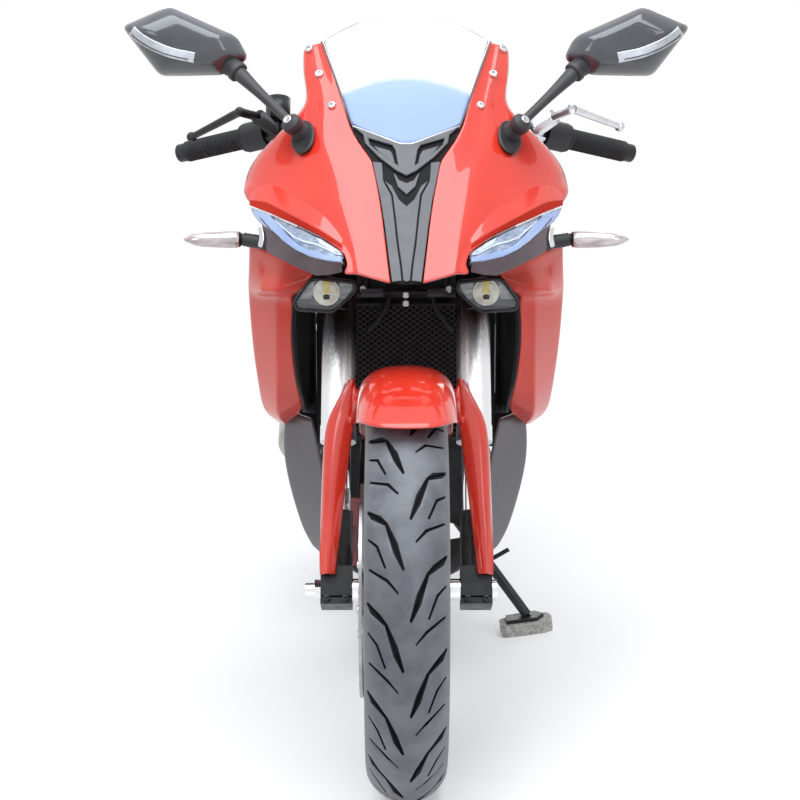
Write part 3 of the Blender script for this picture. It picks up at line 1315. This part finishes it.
def makeRails():
    q = radiator
    made = newBin("blackMetal")
    edge = q["front"] - 0.5
    for z in (q["low"] - 2, q["high"] + 2):
        addTube(made, [(-q["half"] - 3, edge, z), (q["half"] + 3, edge, z)], q["frame"], 10)
    for x in (-q["half"] - 2, q["half"] + 2):
        addTube(made, [(x, edge, q["low"]), (x, edge, q["high"])], q["frame"], 10)
    addTube(made, q["rail"], 6.0, 12, 1.3)
    for x, half in q["blocks"]:
        addTube(made, [(x - half, 317, 684), (x + half, 317, 684)], [7.5, 8.5, 7.5], 12, 0.9, "greyTrim")
    for x, z in q["screws"]:
        addTurned(made, [(5.4, 0), (5.4, 3), (4, 4)], (x, 320, z), (0, -1, 0), 12, "steel")
    for line in q["cables"]:
        addTube(made, curveThrough(line), q["cable"], 10, finish="softRubber")
    pieceFrom("radiatorRails", made)


makeGrille()
makeRails()
print("radiator grille")

# Screws set on a skin: found by looking from outside at a place in the front or side view

screws = dict(
    horn=[(106.6, 968), (127, 1014), (142.5, 1051.7)], hornSize=6.2,
    side=[(520, 697), (640, 600), (690, 500)], sideSize=6.0, lookFrom=400.0,
)


def skinOf(node):
    mesh = nodes[node].data
    faces = [tuple(p.vertices) for p in mesh.polygons]
    return BVHTree.FromPolygons([fromRow @ v.co for v in mesh.vertices], faces)


def spotsOn(skin, places, look, size):
    found = []
    look = Vector(look)
    for place in places:
        hit, normal, _, _ = skin.ray_cast(Vector(place) - look * screws["lookFrom"], look)
        if hit is not None:
            found.append((hit, aim(normal if normal.dot(look) < 0 else -normal), size))
    return found


def makeScrews():
    horn = [(s * x, 150, z) for s in (1, -1) for x, z in screws["horn"]]
    spots = spotsOn(skinOf("nose_cowl"), horn, (0, 1, 0), screws["hornSize"])
    setParts("hornScrews", screwHead("socket"), spots, "chassis", "satinSilver")
    spots = []
    for s in (1, -1):
        places = [(s * 300, y, z) for y, z in screws["side"]]
        spots += spotsOn(fairingSkin, places, (-s, 0, 0), screws["sideSize"])
    setParts("fairingScrews", screwHead("socket"), spots, "chassis", "blackMetal")


makeScrews()
print("screws")

# Drive chain: rollers and plates along the loop round both sprockets

chain = dict(
    pitch=15.875, x=83.0, frontMid=(850, 360), frontTeeth=14, rearTeeth=42, plateEnd=6.4,
    # from the chain's middle: near and far face of the plates
    innerPlate=(3.6, 5.4), outerPlate=(5.6, 7.3),
    roller=[(4.6, -3.5), (4.6, 3.5)], rivet=[(2.4, 7.2), (2.0, 8.2)],
)


def chainLoop():
    rear = Vector((rearAxle.y, rearAxle.z))
    front = Vector(chain["frontMid"])
    r1, r2 = (chain["pitch"] / 2 / math.sin(math.pi / n) for n in (chain["frontTeeth"], chain["rearTeeth"]))
    slope = math.atan2(rear.y - front.y, rear.x - front.x)
    swell = math.asin((r2 - r1) / (rear - front).length)
    up, low = slope + math.pi / 2 + swell, slope - math.pi / 2 - swell
    out = []
    for middle, r, start, end, steps in ((front, r1, up, low + 2 * math.pi, 60), (rear, r2, low, up, 120)):
        for k in range(steps + 1):
            a = start + (end - start) * k / steps
            out.append(middle + r * Vector((math.cos(a), math.sin(a))))
    return out + [out[0]]


def linkMesh(inner):
    made = newBin("chainSteel")
    half, r = chain["pitch"] / 2, chain["plateEnd"]
    outline = []
    for side in (1, -1):
        for k in range(5):
            a = math.radians(-70 + 35 * k)
            outline.append(Vector((side * (half + r * math.cos(a)), side * r * math.sin(a))))
    n = len(outline)
    for s in (1, -1):
        plate = chain["innerPlate" if inner else "outerPlate"]
        verts = [Vector((s * t, p.x, p.y)) for t in plate for p in outline]
        putIn(made, verts, [tuple(range(n)), tuple(range(2 * n - 1, n - 1, -1))] + bandFaces(2, n))
    for s in (1,) if inner else (1, -1):
        for y in (-half, half):
            verts, faces = ringStack(chain["roller" if inner else "rivet"], 8, not inner)
            putIn(made, [Vector((s * v[2], y + v[0], v[1])) for v in verts], faces)
    mesh = meshFrom("link", made["verts"], made["faces"])
    with edited(mesh) as bm:
        bmesh.ops.recalc_face_normals(bm, faces=bm.faces)
    return mesh


def makeChain():
    loop = chainLoop()
    steps = [(loop[i + 1] - loop[i]).length for i in range(len(loop) - 1)]
    total = sum(steps)
    count = 2 * round(total / chain["pitch"] / 2)

    def along(s):
        s %= total
        for i, step in enumerate(steps):
            if s <= step:
                return loop[i].lerp(loop[i + 1], s / step)
            s -= step
        return loop[0]

    spots = [[], []]
    for k in range(count):
        a, b = along(total * k / count), along(total * (k + 1) / count)
        mid, d = (a + b) / 2, (b - a).normalized()
        turn = Matrix.Rotation(math.atan2(d.y, d.x), 3, "X")
        spots[k % 2].append(((chain["x"], mid.x, mid.y), turn, 1.0))
    setParts("chainInner", linkMesh(True), spots[0], "chassis", "chainSteel", ("drive_chain",))
    setParts("chainOuter", linkMesh(False), spots[1], "chassis", "chainSteel")
    print("chain links", count)


makeChain()

# Seats: the CAD block is shrunk a little, swollen as cloth over its flat base, then piped along its edge

seat = dict(
    voxel=0.005, shrink=0.975, lower=0.06, pressure=4.0, cap=0.009, frames=20, fill=0.75,
    # in mm: height of the base that is held, and the piping's radius, height and distance from the ends
    held=5, pipe=2.8, pipeUp=9, pipeEnd=8, pipeCuts=14,
)
seats = {"rider_seat": "riderCushion", "pillion_seat": "pillionCushion"}


def remeshed(mesh):
    obj = addObject("work", mesh)
    mod = obj.modifiers.new("remesh", "REMESH")
    mod.mode = "VOXEL"
    mod.voxel_size = seat["voxel"]
    return takeMesh(obj)


def swell(mesh, base):
    obj = addObject("cushion", mesh)
    rest = [v.co.copy() for v in mesh.vertices]
    group = obj.vertex_groups.new(name="held")
    places = [fromRow @ p for p in rest]
    group.add([i for i, p in enumerate(places) if p.z < base(p.y) + seat["held"]], 1.0, "REPLACE")
    mod = obj.modifiers.new("cloth", "CLOTH")
    mod.settings.use_pressure = True
    mod.settings.uniform_pressure_force = seat["pressure"]
    mod.settings.effector_weights.gravity = 0
    mod.settings.vertex_group_mass = "held"
    mod.settings.quality = 5
    for frameNumber in range(1, seat["frames"] + 1):
        scene.frame_set(frameNumber)
    result = obj.evaluated_get(bpy.context.evaluated_depsgraph_get()).data
    moved = [v.co.copy() for v in result.vertices]
    scene.frame_set(1)
    bpy.data.objects.remove(obj)
    for v, a, b in zip(mesh.vertices, rest, moved):
        d = b - a
        v.co = a + d * min(1.0, seat["cap"] / max(d.length, 1e-9))


def makeSeat(node, name):
    mesh = copyOf(node, name)
    with edited(mesh) as bm:
        weld(bm)
    pts = [fromRow @ v.co for v in mesh.vertices]
    rows = {}
    for p in pts:
        rows.setdefault(round(p.y), []).append(p)
    ys = sorted(rows)
    lows = [(y, min(p.z for p in rows[y])) for y in ys]
    edges = [(y, max(p.x for p in rows[y])) for y in ys]
    mid = sum(pts, Vector()) / len(pts)
    for v, p in zip(mesh.vertices, pts):
        base = levelAt(lows, p.y)
        p.x *= seat["shrink"]
        p.y = mid.y + (p.y - mid.y) * seat["shrink"]
        p.z = base + (p.z - base) * (seat["shrink"] - seat["lower"])
        v.co = toRow @ p
    made = remeshed(mesh)
    made.name = name
    swell(made, lambda y: levelAt(lows, y))
    smoothAll(made)
    obj = addPiece(name, made, "chassis", (node,), ["seatCover"])
    roundOff(obj, 1)
    piping = newBin("softRubber")
    start, span = ys[0] + seat["pipeEnd"], ys[-1] - ys[0] - 2 * seat["pipeEnd"]
    stops = [start + span * k / seat["pipeCuts"] for k in range(seat["pipeCuts"] + 1)]
    side = [(levelAt(edges, y) * 0.985, y, levelAt(lows, y) + seat["pipeUp"]) for y in stops]
    loop = side + [(-x, y, z) for x, y, z in side[::-1]]
    addTube(piping, curveThrough(loop + [loop[0]], 4), seat["pipe"], 8)
    pieceFrom(name + "Piping", piping)
    print(name, len(made.polygons))


for node, name in seats.items():
    makeSeat(node, name)

# Rubber edging along the fairing's front edge, a dark liner above the radiator and a flap behind each duct

edging = dict(
    line=[(160, 150, 703), (166, 160, 693), (170, 176, 662), (171, 195, 629), (170, 224, 593),
          (168, 255, 558), (164, 292, 530), (162, 322, 512), (165, 344, 500)], radius=3.2,
    liner=[(-96, 664), (96, 664), (112, 690), (112, 742), (60, 772), (-60, 772), (-112, 742), (-112, 690)],
    linerFront=349.0,
    flap=[(112, 425), (182, 430), (182, 478), (160, 505), (112, 505)], flapFront=480.0,
)


def makeEdging():
    made = newBin("softRubber")
    line = [Vector(p) + Vector((-2.6, 3.2, 0)) for p in edging["line"]]
    addTube(made, curveThrough(line, 4), edging["radius"], 10)
    addTwin(made)
    upright = lambda front: lambda x, z, lift: Vector((x, front - lift, z))
    addPlate(made, roundLoop(edging["liner"], 12, 3), 0, 5, 1.5, cell=90, at=upright(edging["linerFront"]))
    for turn in bothWays:
        addPlate(made, turn(edging["flap"]), 0, 3, 1, cell=90, at=upright(edging["flapFront"]))
    pieceFrom("fairingEdging", made)


makeEdging()
print("edging")

# Fasteners of the fork, in its own frame: places in mm, and head radius as size; then those of the disc

fastener = dict(
    pinch=dict(x=(forkHalf - 13, forkHalf + 13), y=-26, z=-17, size=5.2),
    yoke=dict(x=128, y=-22, z=(507, 521, 683), size=4.6), cap=dict(z=742, size=13.0),
    disc=dict(x=-64.6, radius=62, count=6, first=12, size=6.0),
)


def makeFasteners():
    onFork = lambda x, y, z: steer @ Vector((x, y - forkOffset, z))
    forward, upward = (aim((steer.to_3x3() @ Vector(d)).normalized()) for d in ((0, -1, 0), (0, 0, 1)))
    q = fastener["pinch"]
    pinch = [(onFork(s * x, q["y"], q["z"]), forward, q["size"]) for s in (1, -1) for x in q["x"]]
    q = fastener["yoke"]
    yoke = [(onFork(s * q["x"], q["y"], z), forward, q["size"]) for s in (1, -1) for z in q["z"]]
    q = fastener["cap"]
    caps = [(onFork(s * forkHalf, 0, q["z"]), upward, q["size"]) for s in (1, -1)]
    for name, head, spots in (("footPinchBolts", "socket", pinch), ("yokeBolts", "socket", yoke),
                              ("forkCaps", "hexagon", caps)):
        setParts(name, screwHead(head), spots, "steering", "blackMetal")
    q = fastener["disc"]
    turns = [math.radians(360 / q["count"] * k + q["first"]) for k in range(q["count"])]
    places = [Vector((q["x"], q["radius"] * math.cos(a), frontR + q["radius"] * math.sin(a))) for a in turns]
    disc = [(place, aim((-1, 0, 0)), q["size"]) for place in places]
    setParts("frontDiscBolts", screwHead("socket"), disc, "front_wheel", "steel")


makeFasteners()
print("fasteners")

# Camera, lights, floor

view = dict(place=(-9.0, -2619.8, 946.2), pitch=8.313, focalPixels=1908.0, width=800.0, sensor=36.0)
cameraData = bpy.data.cameras.new("camera")
cameraData.sensor_width = view["sensor"]
cameraData.lens = view["focalPixels"] / view["width"] * view["sensor"]
camera = addObject("camera", cameraData)
camera.matrix_world = (Matrix.Translation(toRow @ Vector(view["place"])) @ Matrix.Rotation(lean, 4, "Y")
                       @ Matrix.Rotation(math.radians(90 - view["pitch"]), 4, "X"))
scene.camera = camera


# 1 for what the camera sees, straight, mirrored or through glass
def seenRay(tree):
    rays = addNode(tree, "ShaderNodeLightPath").outputs
    total = mathOn(tree, "MAXIMUM", rays["Is Camera Ray"], rays["Is Glossy Ray"])
    return mathOn(tree, "MAXIMUM", total, rays["Is Transmission Ray"])


room = dict(light=(0.86, 0.90, 0.97, 1), strength=0.40, seen=(1, 1, 1, 1))
world = bpy.data.worlds.new("studio")
scene.world = world
world.use_nodes = True
tree = world.node_tree
tree.nodes.clear()
lit = addNode(tree, "ShaderNodeBackground", {"Color": room["light"], "Strength": room["strength"]}).outputs[0]
seen = addNode(tree, "ShaderNodeBackground", {"Color": room["seen"], "Strength": 1.0}).outputs[0]
pick = addNode(tree, "ShaderNodeMixShader", {"Fac": seenRay(tree), 1: lit, 2: seen})
addNode(tree, "ShaderNodeOutputWorld", {"Surface": pick.outputs[0]})

# place, target and size in metres, power in watts
lights = {
    "overhead": dict(place=(0.2, -1.6, 3.6), target=(0, -0.2, 0.6), size=(3.6, 3.2), power=150,
                     colour=(0.90, 0.95, 1.0)),
    "frontLeft": dict(place=(-2.6, -3.6, 2.0), target=(0, -0.4, 0.55), size=(1.4, 2.2), power=24),
    "frontRight": dict(place=(2.6, -3.8, 1.8), target=(0, -0.4, 0.5), size=(1.2, 2.2), power=18),
    "behind": dict(place=(0.4, 3.6, 2.4), target=(0, 0.3, 0.7), size=(3.0, 2.0), power=40),
}


def softbox(name, place, target, size, power, colour=(1, 1, 1)):
    data = bpy.data.lights.new(name, "AREA")
    data.shape = "RECTANGLE"
    data.size, data.size_y = size
    data.energy = power
    data.color = colour
    obj = addObject(name, data)
    obj.location = place
    obj.rotation_euler = (Vector(target) - Vector(place)).to_track_quat("-Z", "Y").to_euler()


for name, spec in lights.items():
    softbox(name, **spec)

# The floor is lit by the lamps near the machine, and plain white by itself further out
ground = dict(half=30.0, tone=(0.82, 0.82, 0.82), near=0.8, far=2.2, glow=(0.30, 1.0))
corners = [(x * ground["half"], y * ground["half"], 0) for x, y in ((-1, -1), (1, -1), (1, 1), (-1, 1))]
floorMesh = meshFrom("floor", corners, [(0, 1, 2, 3)])
floor = addObject("floor", floorMesh)
floorMat, tree, bsdf = newMaterial("floorWhite")
away = addNode(tree, "ShaderNodeVectorMath", {0: objectPlace(tree)}, operation="LENGTH").outputs["Value"]
fade = rangeOn(tree, away, 0, 1, ground["near"], ground["far"], "SMOOTHSTEP")
glow = mathOn(tree, "MULTIPLY", rangeOn(tree, fade, *ground["glow"], 0, 1), seenRay(tree))
setInputs(tree, bsdf, {
    "Base Color": rampOn(tree, fade, ground["tone"], (0, 0, 0), 0.0, 1.0), "Roughness": 0.8,
    "Specular IOR Level": 0.1, "Emission Color": (1, 1, 1, 1), "Emission Strength": glow})
floorMesh.materials.append(floorMat)
scene.view_settings.view_transform = "Standard"
print("camera and light set")
